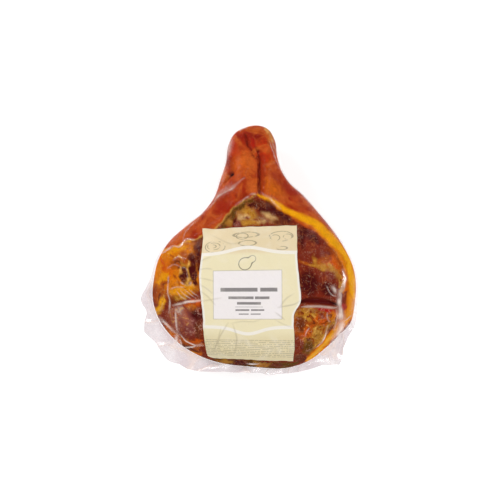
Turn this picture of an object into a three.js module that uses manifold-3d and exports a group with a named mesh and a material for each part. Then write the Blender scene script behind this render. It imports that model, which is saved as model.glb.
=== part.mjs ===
// A vacuum-packed boneless cured ham. One pear-shaped ham lies on its skin side with its lean face up, a paper
// label lies on the lean face, and a front and a back film meet in a seam round the widest line of the ham.
// Millimetres. +Y runs to the shank end, +X to the right of the lean face, +Z up out of the lean face.
import * as THREE from "three";
import { mergeVertices } from "three/addons/utils/BufferGeometryUtils.js";
import Module from "manifold-3d";

const wasm = await Module();
wasm.setup();

// The widest line of the ham, clockwise from the shank end: x, y, and how far the film's seam stands out there.
const OUTLINE = [
  [8, 193, 2], [28, 187, 2], [39, 168, 2], [42, 145, 2], [48, 125, 2], [61, 104, 2], [82, 85, 2],
  [104, 60, 2], [127, 32, 2], [145, 5, 2], [159, -24, 3], [164, -52, 3], [162, -85, 4], [156, -112, 7],
  [138, -132, 15], [118, -151, 22], [90, -172, 13], [54, -183, 8], [5, -181, 9], [-45, -175, 14],
  [-80, -163, 26], [-108, -146, 32], [-130, -124, 24], [-145, -98, 17], [-151, -72, 14], [-149, -45, 5],
  [-142, -15, 3], [-125, 13, 2], [-100, 36, 2], [-73, 58, 2], [-55, 82, 2], [-46, 108, 2],
  [-37, 137, 2], [-34, 160, 2], [-22, 182, 2],
];
const MIDDLE = [5, -45]; // the point on the face that the rings of the surface close on
const COLUMNS = 72; // round the widest line
const RINGS = 10; // from the middle to the widest line, on each side

// Heights above and below the widest line, and how square each side's dome is.
const SEAM_HEIGHT = 46;
const FACE_RISE = 61;
const FACE_SQUARE = 4;
const SKIN_DROP = 54;
const SKIN_SQUARE = 2.6;
const DOME_POWER = 0.45;
const RIND_STEP = 4; // the lean lies this far below the rind that wraps over the shank
const RIND_STEP_RUN = 14;
const RIND_TIP = [12, 85]; // the V where the two rind edges meet
const RIND_LEFT_SLOPE = 0.62;
const RIND_RIGHT_SLOPE = 0.81;

// Film and label, laid on the ham's surface with a clear gap between neighbours.
const GAP = 0.3;
const FILM = 0.4;
const LABEL = 0.4;
const LABEL_CORNERS = [[-71, 32], [71, 38], [75, -78], [67, -170], [-66, -166], [-76, -42]];
const LABEL_FILM_MARGIN = 22; // the film starts to rise over the label this far outside it
const SEAM_RINGS = 2; // rings across the surplus film
const SEAM_WAVES = 13;
const SEAM_WAVE = 0.16; // height of the waves in the surplus film, as a share of its width
const SEAM_SAG = 0.35; // how far its edge hangs, as a share of its width

// Grooves pressed into the face: a path of x, y points and a radius.
const CLEFT = { path: [[0, 178], [1, 160], [8, 146], [12, 128], [12, 100], [12, 86]], radius: 5 };
const LEAN_SPLIT = { path: [[72, -71], [95, -72], [116, -77], [136, -83]], radius: 4.5 };
const GROOVE_SIDES = 10;
const GROOVE_STEPS = 14;

const outlineCurve = new THREE.CatmullRomCurve3(
  OUTLINE.map(([x, y, seam]) => new THREE.Vector3(x, y, seam)), true, "centripetal");
const outline = Array.from({ length: COLUMNS }, (_, i) => outlineCurve.getPointAt(1 - i / COLUMNS));

// Distance from the middle of each ring, as a share of the way to the widest line, closer together at the rim.
const ringShare = (ring) => Math.sin((ring / RINGS) * Math.PI / 2);
const dome = (share, square) => Math.pow(Math.max(0, 1 - Math.pow(share, square)), DOME_POWER);

// The lean steps down from the rind, except at the rim.
function leanStep(x, y, share) {
  const slope = x < RIND_TIP[0] ? RIND_LEFT_SLOPE : RIND_RIGHT_SLOPE;
  const edge = RIND_TIP[1] - slope * Math.abs(x - RIND_TIP[0]);
  return RIND_STEP * THREE.MathUtils.smoothstep(edge - y, 0, RIND_STEP_RUN) * (1 - Math.pow(share, 6));
}

function faceHeight(x, y, share) {
  return SEAM_HEIGHT + FACE_RISE * dome(share, FACE_SQUARE) - leanStep(x, y, share);
}

function skinHeight(share) {
  return Math.max(GAP + FILM, SEAM_HEIGHT - SKIN_DROP * dome(share, SKIN_SQUARE));
}

// Rings of points from the middle outwards; the first ring is one point.
function surfaceRings(height) {
  return Array.from({ length: RINGS + 1 }, (_, ring) => {
    const share = ringShare(ring);
    return (ring ? outline : outline.slice(0, 1)).map((rim) => {
      const x = THREE.MathUtils.lerp(MIDDLE[0], rim.x, share);
      const y = THREE.MathUtils.lerp(MIDDLE[1], rim.y, share);
      return new THREE.Vector3(x, y, height(x, y, share));
    });
  });
}

// One side of a body: a fan round the first ring's point, then a strip between each two rings.
function addSide(faces, rings, start, outward) {
  const add = (a, b, c) => faces.push(...(outward ? [a, b, c] : [a, c, b]));
  for (let i = 0; i < COLUMNS; i++) {
    const next = (i + 1) % COLUMNS;
    add(start, start + 1 + i, start + 1 + next);
    for (let ring = 1; ring < rings.length - 1; ring++) {
      const inner = start + 1 + (ring - 1) * COLUMNS;
      const outer = inner + COLUMNS;
      add(inner + i, outer + i, inner + next);
      add(inner + next, outer + i, outer + next);
    }
  }
}

// A closed body between an upper and a lower set of rings, joined by a strip round their last rings.
function bodyBetween(upper, lower) {
  const points = [...upper.flat(), ...lower.flat()];
  const lowerStart = upper.flat().length;
  const upperEdge = lowerStart - COLUMNS;
  const lowerEdge = points.length - COLUMNS;
  const faces = [];
  addSide(faces, upper, 0, true);
  addSide(faces, lower, lowerStart, false);
  for (let i = 0; i < COLUMNS; i++) {
    const next = (i + 1) % COLUMNS;
    faces.push(upperEdge + i, lowerEdge + i, upperEdge + next);
    faces.push(upperEdge + next, lowerEdge + i, lowerEdge + next);
  }
  const geometry = new THREE.BufferGeometry().setFromPoints(points);
  geometry.setIndex(faces);
  return geometry;
}

const faceRings = surfaceRings(faceHeight);
const skinRings = surfaceRings((x, y, share) => skinHeight(share));

// Outward directions at every point of the ham, in the same rings.
function outwardRings(rings, sign) {
  const side = [];
  addSide(side, rings, 0, sign > 0);
  const geometry = new THREE.BufferGeometry().setFromPoints(rings.flat());
  geometry.setIndex(side);
  geometry.computeVertexNormals();
  const normals = geometry.getAttribute("normal");
  let at = 0;
  return rings.map((ring, number) => ring.map(() => {
    const normal = new THREE.Vector3().fromBufferAttribute(normals, at++);
    if (number === RINGS) normal.setZ(0).normalize();
    return normal;
  }));
}

const faceOutward = outwardRings(faceRings, 1);
const skinOutward = outwardRings(skinRings, -1);

// The rings moved outwards by a distance, which may differ from point to point.
function offsetRings(rings, outward, distance) {
  return rings.map((ring, r) => ring.map((point, i) =>
    point.clone().addScaledVector(outward[r][i], distance(point))));
}

// The surplus film beyond the widest line: it waves, and its edge hangs a little.
function seamRings(rise, reach) {
  return Array.from({ length: SEAM_RINGS + 1 }, (_, ring) => outline.map((rim, i) => {
    const share = ring / SEAM_RINGS;
    const wave = SEAM_WAVE * Math.sin((i / COLUMNS) * SEAM_WAVES * 2 * Math.PI) - SEAM_SAG * share;
    const point = new THREE.Vector3(rim.x, rim.y, SEAM_HEIGHT + rise + rim.z * share * wave);
    return point.addScaledVector(faceOutward[RINGS][i], reach + rim.z * share);
  }));
}

function solidOf(geometry) {
  const bare = new THREE.BufferGeometry();
  bare.setAttribute("position", geometry.getAttribute("position"));
  bare.setIndex(geometry.getIndex());
  const merged = mergeVertices(bare, 1e-4);
  return new wasm.Manifold(new wasm.Mesh({
    numProp: 3,
    vertProperties: merged.getAttribute("position").array,
    triVerts: new Uint32Array(merged.getIndex().array),
  }));
}

function geometryOf(solid) {
  const mesh = solid.getMesh();
  const geometry = new THREE.BufferGeometry();
  geometry.setAttribute("position", new THREE.BufferAttribute(mesh.vertProperties, 3));
  geometry.setIndex(new THREE.BufferAttribute(mesh.triVerts, 1));
  return geometry;
}

// Height of the face over a point of the plan, found along the line from the middle through it.
function faceHeightAt(x, y) {
  const turn = (dx, dy) => Math.atan2(dy, dx);
  const wanted = turn(x - MIDDLE[0], y - MIDDLE[1]);
  const off = (rim) => Math.abs(Math.sin((turn(rim.x - MIDDLE[0], rim.y - MIDDLE[1]) - wanted) / 2));
  const rim = outline.reduce((best, point) => (off(point) < off(best) ? point : best));
  const share = Math.hypot(x - MIDDLE[0], y - MIDDLE[1]) / Math.hypot(rim.x - MIDDLE[0], rim.y - MIDDLE[1]);
  return faceHeight(x, y, Math.min(1, share));
}

// A round-sectioned tool along a path that lies on the face; half of it is in the ham.
function grooveTool({ path, radius }) {
  const points = path.map(([x, y]) => new THREE.Vector3(x, y, faceHeightAt(x, y)));
  const section = new THREE.Shape().absarc(0, 0, radius, 0, 2 * Math.PI);
  return solidOf(new THREE.ExtrudeGeometry(section, {
    extrudePath: new THREE.CatmullRomCurve3(points),
    steps: GROOVE_STEPS,
    curveSegments: GROOVE_SIDES,
  }));
}

function hamGeometry() {
  const whole = solidOf(bodyBetween(faceRings, skinRings.slice(0, RINGS)));
  return geometryOf(whole.subtract(grooveTool(CLEFT)).subtract(grooveTool(LEAN_SPLIT)));
}

const labelShape = new THREE.Shape(LABEL_CORNERS.map(([x, y]) => new THREE.Vector2(x, y)));

// The label is the part of a thin layer on the face that lies inside the label's outline.
function labelGeometry() {
  const layer = (distance) => offsetRings(faceRings, faceOutward, () => distance).slice(0, RINGS);
  const sheet = solidOf(bodyBetween(layer(GAP + LABEL), layer(GAP)));
  const column = new THREE.ExtrudeGeometry(labelShape, { depth: 2 * FACE_RISE, bevelEnabled: false });
  column.translate(0, 0, SEAM_HEIGHT);
  return geometryOf(sheet.intersect(solidOf(column)));
}

// How far the film's inside stands off the face: past the label wherever the label is near.
function filmStandOff(point) {
  const xs = LABEL_CORNERS.map(([x]) => x);
  const ys = LABEL_CORNERS.map(([, y]) => y);
  const beyondX = Math.max(Math.min(...xs) - point.x, point.x - Math.max(...xs), 0);
  const beyondY = Math.max(Math.min(...ys) - point.y, point.y - Math.max(...ys), 0);
  return Math.hypot(beyondX, beyondY) < LABEL_FILM_MARGIN ? GAP + LABEL + GAP : GAP;
}

function frontFilmGeometry() {
  const over = (extra) => offsetRings(faceRings, faceOutward, (point) => filmStandOff(point) + extra);
  return bodyBetween(
    [...over(FILM).slice(0, RINGS), ...seamRings(GAP / 2 + FILM, GAP + FILM)],
    [...over(0).slice(0, RINGS), ...seamRings(GAP / 2, GAP)]);
}

function backFilmGeometry() {
  const under = (distance) => offsetRings(skinRings, skinOutward, () => distance);
  return bodyBetween(
    [...under(GAP).slice(0, RINGS), ...seamRings(-GAP / 2, GAP)],
    [...under(GAP + FILM).slice(0, RINGS), ...seamRings(-GAP / 2 - FILM, GAP + FILM)]);
}

const meatMaterial = new THREE.MeshStandardMaterial({ color: 0xa8502a, roughness: 0.35, metalness: 0 });
const paperMaterial = new THREE.MeshStandardMaterial({ color: 0xeee0c4, roughness: 0.6, metalness: 0 });
const filmMaterial = new THREE.MeshStandardMaterial({
  color: 0xe8e0e0, roughness: 0.15, metalness: 0, transparent: true, opacity: 0.35,
});

const group = new THREE.Group();
function add(name, geometry, material) {
  const mesh = new THREE.Mesh(geometry, material);
  mesh.name = name;
  group.add(mesh);
}

add("ham", hamGeometry(), meatMaterial);
add("label", labelGeometry(), paperMaterial);
add("front_film", frontFilmGeometry(), filmMaterial);
add("back_film", backFilmGeometry(), filmMaterial);

// The whole stands on z = 0, with the middle of its length and width over the origin.
const box = new THREE.Box3().setFromObject(group);
group.position.set(-(box.min.x + box.max.x) / 2, -(box.min.y + box.max.y) / 2, -box.min.z);

export default group;
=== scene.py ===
"""A vacuum-packed boneless cured ham: the ham, a paper label on its lean face, and a clear bag in two films.

Shapes are worked out in millimetres on the plan of the ham, x to the right and y to the shank, with heights
along z or along the surface's normal. They go to metres, and to the frame's place, when a mesh is made.
"""
import math

import bpy
import numpy as np
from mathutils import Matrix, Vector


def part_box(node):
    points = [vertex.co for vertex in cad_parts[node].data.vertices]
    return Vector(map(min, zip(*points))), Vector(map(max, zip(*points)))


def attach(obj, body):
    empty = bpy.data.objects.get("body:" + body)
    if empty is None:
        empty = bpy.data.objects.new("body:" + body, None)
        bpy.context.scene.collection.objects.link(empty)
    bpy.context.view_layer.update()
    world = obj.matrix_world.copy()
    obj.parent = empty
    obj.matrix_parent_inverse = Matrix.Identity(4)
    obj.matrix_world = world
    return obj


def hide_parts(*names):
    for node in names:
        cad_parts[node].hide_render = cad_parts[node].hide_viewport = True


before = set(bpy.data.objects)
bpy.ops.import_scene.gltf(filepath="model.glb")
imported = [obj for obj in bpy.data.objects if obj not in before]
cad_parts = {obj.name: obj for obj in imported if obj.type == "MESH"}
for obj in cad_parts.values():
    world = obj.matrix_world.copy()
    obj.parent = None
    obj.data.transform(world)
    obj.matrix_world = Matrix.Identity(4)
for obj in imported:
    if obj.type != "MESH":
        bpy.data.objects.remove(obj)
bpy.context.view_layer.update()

MM = 0.001

# ------------------------------------------------------------ the ham's driving shape, as in the CAD model

# The widest line, clockwise from the shank end: x, y, and how far the film's seam stands out there.
OUTLINE = [
    (8, 193, 2), (28, 187, 2), (39, 168, 2), (42, 145, 2), (48, 125, 2), (61, 104, 2), (82, 85, 2),
    (104, 60, 2), (127, 32, 2), (145, 5, 2), (159, -24, 3), (164, -52, 3), (162, -85, 4), (156, -112, 7),
    (138, -132, 15), (118, -151, 22), (90, -172, 13), (54, -183, 8), (5, -181, 9), (-45, -175, 14),
    (-80, -163, 26), (-108, -146, 32), (-130, -124, 24), (-145, -98, 17), (-151, -72, 14), (-149, -45, 5),
    (-142, -15, 3), (-125, 13, 2), (-100, 36, 2), (-73, 58, 2), (-55, 82, 2), (-46, 108, 2),
    (-37, 137, 2), (-34, 160, 2), (-22, 182, 2),
]
MIDDLE = np.array([5.0, -45.0])
SEAM_HEIGHT = 46.0
FACE_RISE = 61.0
FACE_SQUARE = 4.0
SKIN_DROP = 54.0
SKIN_SQUARE = 2.6
DOME_POWER = 0.45
SKIN_FLOOR = 0.7  # the flat underside of the ham, on the back film

HAM_RINGS = 132
SKIN_RINGS = 24
FILM_DOME_RINGS = 128
FILM_SEAM_RINGS = 16

# ---------------------------------------------------------------- colours, as 0 to 255 in sRGB

RIND = (186, 74, 36)
RIND_ORANGE = (202, 98, 44)
RIND_RED = (156, 40, 26)
RIND_BROWN = (138, 52, 28)
SHANK_RED = (204, 54, 28)
SHANK_DARK = (122, 14, 20)
SHANK_HIGHLIGHT = (224, 112, 26)
SKIN_TAN = (200, 118, 58)
END_TAN = (188, 88, 40)
END_PALE = (226, 164, 90)
FAT = (216, 122, 18)
FAT_DEEP = (212, 106, 20)
FAT_YELLOW = (242, 168, 6)
FAT_PALE = (230, 172, 84)
YELLOW_TAN = (190, 132, 48)
TAN = (166, 108, 54)
CREAM = (214, 172, 112)
OLIVE = (176, 122, 50)
OLIVE_DARK = (98, 64, 26)
BROWN = (112, 50, 26)
BROWN_ORANGE = (172, 82, 30)
LEAN = (124, 46, 32)
LEAN_BROWN = (104, 48, 32)
LEAN_DARK = (78, 26, 18)
PIT_SHADE = (58, 24, 16)
LEAN_PINK = (168, 98, 80)
PLUM = (128, 66, 62)
BLOOD = (168, 22, 16)
GROOVE_SHADE = (100, 28, 22)
GREY_FAT = (196, 170, 158)
EMBER = (206, 88, 24)
GOLD = (226, 146, 26)
FIBRE_PINK = (214, 158, 140)
VEIN = (200, 116, 66)
CRYSTAL_AND_GLINT = (212, 160, 134)
PAINTED_GLINT = (236, 206, 176)
FILM_LILAC = (196, 166, 176)
FILM_WHITE = (255, 230, 216)

# The colours above are as seen. This is how bright the studio light is on a flat face, the white that gloss
# adds to the meat, and the least that a channel may be.
STUDIO_LIGHT = 1.1
GLOSS_VEIL = 0.008
DARKEST = 0.003


def linear(colour, veil=0.0):
    c = np.array(colour, float) / 255.0
    seen = np.where(c <= 0.04045, c / 12.92, ((c + 0.055) / 1.055) ** 2.4)
    return np.maximum(seen - veil, DARKEST) / STUDIO_LIGHT


def meat(colour):
    return linear(colour, GLOSS_VEIL)


def rgba(colour):
    return (*linear(colour), 1.0)


def blend(base, colour, weight):
    weight = np.asarray(weight)[..., None]
    return base * (1 - weight) + meat(colour) * weight


def plain(x, colour):
    """That colour at every point."""
    return np.ones(x.shape + (3,)) * meat(colour)


# ---------------------------------------------------------------- plane functions

def smooth(low, high, value):
    t = np.clip((value - low) / (high - low), 0.0, 1.0)
    return t * t * (3.0 - 2.0 * t)


NOISE_SIZE = 128


def noise(x, y, scale, seed):
    """Smooth noise from -1 to 1 whose bumps are about scale apart."""
    table = np.random.default_rng(seed).uniform(-1.0, 1.0, (NOISE_SIZE, NOISE_SIZE))
    u, v = x / scale + 31.7, y / scale + 17.3
    i, j = np.floor(u).astype(int), np.floor(v).astype(int)
    f, g = u - i, v - j
    f, g = f * f * (3 - 2 * f), g * g * (3 - 2 * g)
    i, j, i1, j1 = i % NOISE_SIZE, j % NOISE_SIZE, (i + 1) % NOISE_SIZE, (j + 1) % NOISE_SIZE
    low = table[i, j] * (1 - f) + table[i1, j] * f
    high = table[i, j1] * (1 - f) + table[i1, j1] * f
    return low * (1 - g) + high * g


def fractal(x, y, scale, seed, octaves=3):
    return sum(noise(x, y, scale / 2 ** k, seed + k) / 2 ** k for k in range(octaves))


def curve_through(points, steps=6):
    """A smooth open curve through the points (Catmull-Rom)."""
    p = np.array(points, float)
    if len(p) < 3:
        return p
    p = np.vstack([2 * p[0] - p[1], p, 2 * p[-1] - p[-2]])
    t = np.linspace(0, 1, steps, endpoint=False)[:, None]
    parts = []
    for a, b, c, d in zip(p, p[1:], p[2:], p[3:]):
        parts.append(0.5 * (2 * b + (c - a) * t + (2 * a - 5 * b + 4 * c - d) * t ** 2
                            + (3 * b - a - 3 * c + d) * t ** 3))
    return np.vstack([*parts, p[-2][None]])


def distance_to(x, y, points):
    """Distance to a smooth curve through the points, and how far along it that is, from 0 to 1."""
    path = curve_through(points)
    lengths = np.hypot(*np.diff(path, axis=0).T)
    starts = np.concatenate([[0], np.cumsum(lengths)])
    best = np.full(np.shape(x), np.inf)
    along = np.zeros(np.shape(x))
    for k, (a, b) in enumerate(zip(path, path[1:])):
        d = b - a
        t = np.clip(((x - a[0]) * d[0] + (y - a[1]) * d[1]) / max(d @ d, 1e-9), 0, 1)
        gap = np.hypot(x - a[0] - t * d[0], y - a[1] - t * d[1])
        near = gap < best
        best = np.where(near, gap, best)
        along = np.where(near, (starts[k] + t * lengths[k]) / starts[-1], along)
    return best, along


def stroke(x, y, points, width, soft=0.5):
    """1 on a curve of that full width, falling to 0 at its sides over soft times its half width."""
    gap, along = distance_to(x, y, points)
    half = width / 2
    taper = np.clip(6 * np.minimum(along, 1 - along), 0.25, 1)
    return 1 - smooth(half * taper * (1 - soft), half * taper * (1 + soft), gap)


def blob(x, y, centre, size, turn=0.0, soft=0.35):
    """1 inside an ellipse of that full size, turned anticlockwise by turn degrees, and 0 outside."""
    c, s = math.cos(math.radians(turn)), math.sin(math.radians(turn))
    dx, dy = x - centre[0], y - centre[1]
    r = np.hypot((dx * c + dy * s) / (size[0] / 2), (dy * c - dx * s) / (size[1] / 2))
    return 1 - smooth(1 - soft, 1 + soft, r)


def cover(x, y, shape):
    """The stroke (points, width, soft) or the blob (centre, size, turn, soft) of a table's row."""
    draw = stroke if isinstance(shape[0], list) else blob
    return draw(x, y, *shape)


# ---------------------------------------------------------------- the outline and the smooth body

def closed_outline(steps=24):
    """The widest line as a closed centripetal Catmull-Rom curve, evenly spaced points of x, y, seam width."""
    p = np.array(OUTLINE, float)
    ring = []
    for k in range(len(p)):
        a, b, c, d = (p[(k + j) % len(p)] for j in (-1, 0, 1, 2))
        ta, tb, tc = (np.sqrt(np.linalg.norm(e - s)) for s, e in ((a, b), (b, c), (c, d)))
        m0 = ((b - a) / ta - (c - a) / (ta + tb) + (c - b) / tb) * tb
        m1 = ((c - b) / tb - (d - b) / (tb + tc) + (d - c) / tc) * tb
        t = np.linspace(0, 1, steps, endpoint=False)[:, None]
        ring.append(b + m0 * t + (3 * (c - b) - 2 * m0 - m1) * t ** 2 + (2 * (b - c) + m0 + m1) * t ** 3)
    return np.vstack(ring)[::-1]


RIM = closed_outline()
RIM_LOOP = np.vstack([RIM, RIM[:1]])
RIM_AT = np.concatenate([[0], np.cumsum(np.hypot(*np.diff(RIM_LOOP[:, :2], axis=0).T))])
PERIMETER = RIM_AT[-1]
RIM_AT /= PERIMETER
RIM_ANGLE = np.unwrap(np.arctan2(*(RIM_LOOP[:, :2] - MIDDLE).T[::-1]))
RIM_REACH = np.hypot(*(RIM_LOOP[:, :2] - MIDDLE).T)


def rim_at(turn):
    """x, y and seam width of the widest line at a share of its length."""
    turn = turn % 1.0
    return tuple(np.interp(turn, RIM_AT, RIM_LOOP[:, k]) for k in range(3))


def rim_outward(turn):
    """The direction in plan that points straight out of the widest line."""
    x0, y0, _ = rim_at(turn - 0.004)
    x1, y1, _ = rim_at(turn + 0.004)
    length = np.hypot(x1 - x0, y1 - y0)
    return (y1 - y0) / length, (x0 - x1) / length


def dome(share, square):
    return np.maximum(0.0, 1 - share ** square) ** DOME_POWER


def face_height(share):
    return SEAM_HEIGHT + FACE_RISE * dome(share, FACE_SQUARE)


def skin_height(share):
    return np.maximum(SKIN_FLOOR, SEAM_HEIGHT - SKIN_DROP * dome(share, SKIN_SQUARE))


def toward_rim(share, rx, ry):
    """The plan point that far from the middle, as a share of the way to a point of the widest line."""
    return MIDDLE[0] + share * (rx - MIDDLE[0]), MIDDLE[1] + share * (ry - MIDDLE[1])


def share_of(x, y):
    """How far a point of the plan is from the middle, as a share of the way to the widest line."""
    low = RIM_ANGLE[0]
    angle = low + (np.arctan2(y - MIDDLE[1], x - MIDDLE[0]) - low) % (2 * np.pi)
    return np.hypot(x - MIDDLE[0], y - MIDDLE[1]) / np.interp(angle, RIM_ANGLE, RIM_REACH)


def square_rings(rings):
    """A square grid whose square rings become rings round the middle: ring share 0 to 1, and turn 0 to 1."""
    line = np.arange(-rings, rings + 1) / rings
    a, b = np.meshgrid(line, line, indexing="ij")
    wide = np.abs(a) >= np.abs(b)
    r = np.where(wide, a, b)
    safe = np.where(r == 0, 1, r)
    angle = np.where(wide, (np.pi / 4) * (b / safe), np.pi / 2 - (np.pi / 4) * (a / safe))
    turn = (angle + np.where(r < 0, np.pi, 0)) / (2 * np.pi)
    return np.abs(r), turn % 1.0


def grid_normals(points):
    normal = np.cross(np.gradient(points, axis=0), np.gradient(points, axis=1))
    length = np.linalg.norm(normal, axis=2, keepdims=True)
    normal = normal / np.maximum(length, 1e-9)
    return normal * np.sign(normal[..., 2:3].mean())


# ---------------------------------------------------------------- the face: where things are, and how high

# The edge of the rind over the lean, from the left rim up to the V under the shank and down to the right rim.
RIND_EDGE = [
    (-165, -17), (-141, -8), (-127, 0), (-117, 6), (-105, 10), (-97, 15), (-85, 17), (-75, 21), (-60, 30),
    (-46, 40), (-36, 53), (-24, 66), (-8, 77), (6, 84), (13, 87), (26, 79), (36, 71), (48, 62), (60, 52),
    (70, 43), (82, 36), (92, 32), (104, 27), (117, 16), (129, 5), (140, -5), (147, -20), (150, -60),
    (170, -90),
]
CLEFT_X = 12.5
SPLIT = [(71, -80), (86, -77), (102, -77.5), (118, -79.5), (136, -84)]
FOLD = [(-8, 178), (-4, 163), (1, 151), (7, 144), (12.5, 137)]


def rind_side(x, y):
    """Above 0 on the rind and below 0 on the lean, roughly in millimetres from the rind's edge."""
    edge = np.array(RIND_EDGE, float)
    return (y - np.interp(x, edge[:, 0], edge[:, 1])) * 0.8


def split_shape(x, y):
    gap, along = distance_to(x, y, SPLIT)
    half = 0.8 + 5.0 * np.sin(np.pi * np.clip(along, 0, 1)) ** 0.7
    return 1 - smooth(half * 0.45, half * 1.15, gap)


# Bumps, folds and pits: height, then a stroke or a blob.
RELIEF = [
    (2.2, [(-4, 124), (-16, 112), (-30, 98), (-44, 84), (-58, 74)], 13, 0.95),
    (-1.6, [(-20, 122), (-30, 108), (-44, 96)], 7, 0.95),
    (1.6, [(22, 132), (36, 128), (46, 118), (54, 104)], 8, 0.95),
    (-1.2, [(26, 122), (38, 116), (46, 104)], 7, 0.95),
    (-3.0, FOLD, 4.5, 0.9),
    (3.2, (4, 159), (9, 20), 12, 0.8),
    (-3.5, (11.5, 151), (5, 7), 0, 0.8),
    (-4.0, (-29.5, 115), (8, 6), 30, 0.8),
    (-1.6, [(-31, 113), (-35, 108), (-40, 103)], 4, 0.9),
    (-1.4, [(-17, 181), (0, 182), (12, 180), (24, 174), (31, 160), (36, 145)], 3.5, 0.9),
    (-1.5, [(20, 128), (29, 130), (38, 134)], 4, 0.9),
]
LEAN_STEP = 2.6
CLEFT_DEPTH = 7.0
SPLIT_DEPTH = 6.0
FAT_SWELL = 1.8
RELIEF_FADE = 0.955  # the relief fades out from this share of the way to the widest line


def relief(x, y):
    """Height of the real face above the smooth body, in millimetres."""
    side = rind_side(x + 1.2 * noise(x, y, 11, 5), y + 1.2 * noise(x, y, 9, 6))
    on_rind = smooth(-4.0, 4.0, side)
    flesh = 1 - on_rind
    h = -LEAN_STEP * flesh + 1.0 * np.exp(-((side - 7) / 6) ** 2)
    across = x - CLEFT_X
    length = smooth(80, 88, y) * (1 - smooth(136, 156, y))
    cut = np.where(across < 0, smooth(-2.2, 0.4, across), 1 - smooth(0.6, 12, across))
    h -= CLEFT_DEPTH * length * cut * on_rind
    h += 2.0 * np.exp(-((across + 19) / 13) ** 2 - ((y - 120) / 34) ** 2)
    h += 1.8 * np.exp(-((across - 19) / 12) ** 2 - ((y - 122) / 36) ** 2)
    for height, *shape in RELIEF:
        h += height * cover(x, y, shape)
    split = split_shape(x, y)
    h -= SPLIT_DEPTH * split
    h += flesh * (1.0 - 0.8 * split) * (0.5 * noise(x, y, 17, 11) + 0.3 * fractal(x, y, 7, 14, 2))
    h += on_rind * (0.8 * noise(x, y, 26, 21) + 0.3 * noise(x, y, 11, 24) + 0.12 * noise(x, y, 5, 25))
    h += flesh * FAT_SWELL * smooth(0.0, 0.5, fat_band(x, y))
    return h


# The thick yellow fat inside the rind and the rim, from the V down the right: x, y, and half its width.
FAT_LINE = [
    (12, 84, 2), (25, 78, 3), (46, 66, 5), (66, 55, 6.5), (86, 46, 8), (106, 35, 9), (122, 19, 9.5),
    (139, 0, 9), (149, -18, 9), (155, -38, 9), (157, -60, 8.5), (156, -82, 9), (151, -102, 10),
    (134, -123, 8), (113, -147, 7), (88, -169, 5),
]


def fat_band(x, y, spread=1.0):
    """How deep a point is in the fat, as a share of the way from its edge, 0, to its middle, 1."""
    line = np.array(FAT_LINE, float)
    gap, along = distance_to(x, y, line[:, :2])
    at = np.concatenate([[0], np.cumsum(np.hypot(*np.diff(line[:, :2], axis=0).T))])
    return np.maximum(0, 1 - gap / (spread * np.interp(along, at / at[-1], line[:, 2])))


# ---------------------------------------------------------------- the face: what colour things are

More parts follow.
